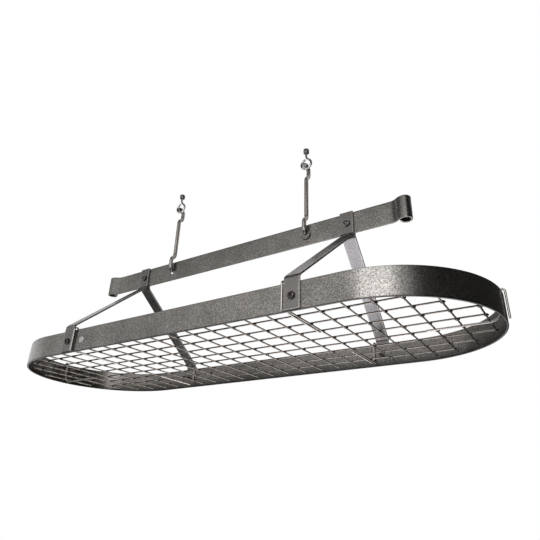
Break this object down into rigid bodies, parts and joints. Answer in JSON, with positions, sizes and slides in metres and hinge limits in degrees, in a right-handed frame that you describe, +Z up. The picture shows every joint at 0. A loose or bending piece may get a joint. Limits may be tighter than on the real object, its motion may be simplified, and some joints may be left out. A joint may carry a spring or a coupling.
{
  "type": "hanging pot rack",
  "caption": "Oval flat-bar pot rack with a loose welded wire shelf, hung by bent straps, a centre bar with scrolled ends and hooked rods from ceiling eyes.",
  "frame": {"origin": "on the ceiling plane, midway between the two ceiling eyes", "axes": "+X along the rack to its right end, -Y towards its front, +Z up to the ceiling"},
  "size_m": [1.4558, 0.5288, 0.6253],
  "materials": {
    "hammered_steel": "hammered, clear coated",
    "strap_steel": "satin, clear coated",
    "black_fastener": "black oxide",
    "shelf_wire": "drawn wire, clear coated",
    "bright_wire": "bright plated",
    "rod_steel": "smooth, clear coated"
  },
  "bodies": {
    "ceiling_eyes": {"ceiling_eye_left": "bright_wire", "ceiling_eye_right": "bright_wire"},
    "left_rod": {"hanger_rod_left": "rod_steel"},
    "right_rod": {"hanger_rod_right": "rod_steel"},
    "rack": {"rim_band": "hammered_steel", "centre_bar": "hammered_steel", "band_stud": "bright_wire", "strap_front_left": "strap_steel", "strap_front_right": "strap_steel", "strap_back_left": "strap_steel", "strap_back_right": "strap_steel", "band_bolt_front_left": "black_fastener", "band_bolt_front_right": "black_fastener", "band_bolt_back_left": "black_fastener", "band_bolt_back_right": "black_fastener", "band_nut_front_left": "black_fastener", "band_nut_front_right": "black_fastener", "band_nut_back_left": "black_fastener", "band_nut_back_right": "black_fastener", "bar_bolt_left": "black_fastener", "bar_bolt_right": "black_fastener", "bar_nut_left": "black_fastener", "bar_nut_right": "black_fastener", "clip_front_left": "bright_wire", "clip_front_right": "bright_wire", "clip_back_left": "bright_wire", "clip_back_right": "bright_wire", "clip_end_left": "bright_wire", "clip_end_right": "bright_wire"},
    "shelf": {"wire_shelf": "shelf_wire"}
  },
  "joints": [
    {"name": "left_rod_swing", "type": "hinge", "parent": "ceiling_eyes", "child": "left_rod", "pos_m": [-0.252, 0, -0.05975], "axis": [0, 1, 0], "range_deg": [-43, 43]},
    {"name": "right_rod_swing", "type": "hinge", "parent": "ceiling_eyes", "child": "right_rod", "pos_m": [0.252, 0, -0.05975], "axis": [0, 1, 0], "range_deg": [-43, 43]},
    {"name": "rack_level", "type": "hinge", "parent": "left_rod", "child": "rack", "pos_m": [-0.252, 0, -0.2972], "axis": [0, 1, 0], "range_deg": [-43, 43]},
    {"name": "shelf_lift", "type": "slide", "parent": "rack", "child": "shelf", "axis": [0, 0, 1], "range_m": [0, 0.078]}
  ],
  "couplings": [
    {"joint": "rack_level", "follows": "left_rod_swing", "ratio": -1},
    {"joint": "right_rod_swing", "follows": "left_rod_swing", "ratio": 1}
  ]
}
